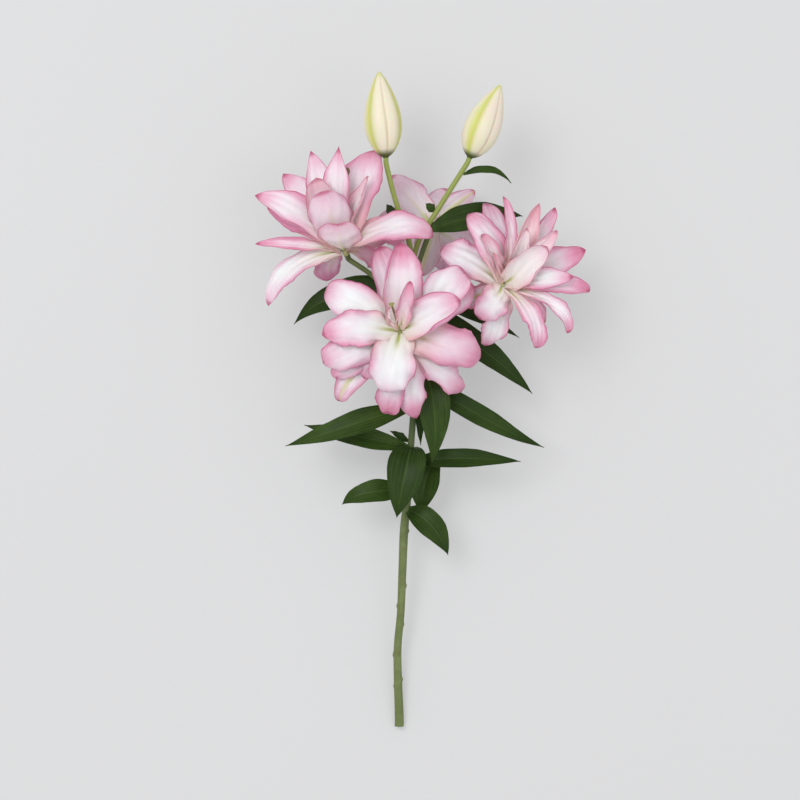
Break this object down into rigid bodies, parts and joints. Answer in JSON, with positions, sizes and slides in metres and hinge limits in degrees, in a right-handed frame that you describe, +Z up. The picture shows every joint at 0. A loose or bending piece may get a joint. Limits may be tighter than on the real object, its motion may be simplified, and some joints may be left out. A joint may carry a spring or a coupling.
{
  "type": "cut lily",
  "caption": "Cut double lily lying on its back: a leafy green stem with open ruffled pink and white blooms facing different ways and closed cream buds above them.",
  "frame": {"origin": "on the surface that the flower lies on, under the middle of its box", "axes": "+Y along the stem from its cut end to the buds, +Z up from the surface, +X to the right as seen from above"},
  "size_m": [0.3969, 0.7933, 0.2006],
  "materials": {
    "petal": "satin",
    "leaf": "satin",
    "stem": "satin",
    "bud": "satin",
    "pistil": "matte"
  },
  "bodies": {
    "root": {"stem": "stem", "leaf_low_right": "leaf", "leaf_low_back": "leaf", "leaf_low_left": "leaf", "leaf_mid_front": "leaf", "leaf_mid_right": "leaf", "leaf_mid_left": "leaf", "leaf_mid_bract": "leaf", "leaf_up_left": "leaf", "leaf_up_front": "leaf", "leaf_up_right": "leaf", "leaf_up_back": "leaf", "leaf_high_left": "leaf", "leaf_high_right": "leaf", "leaf_high_low": "leaf", "leaf_top_right": "leaf", "bract_left": "leaf", "bract_right": "leaf", "bract_bud": "leaf", "bloom_front": "petal", "bloom_left": "petal", "bloom_right": "petal", "bloom_back": "petal", "pistil_front": "pistil", "pistil_left": "pistil", "bud_left": "bud", "bud_right": "bud"}
  },
  "joints": []
}
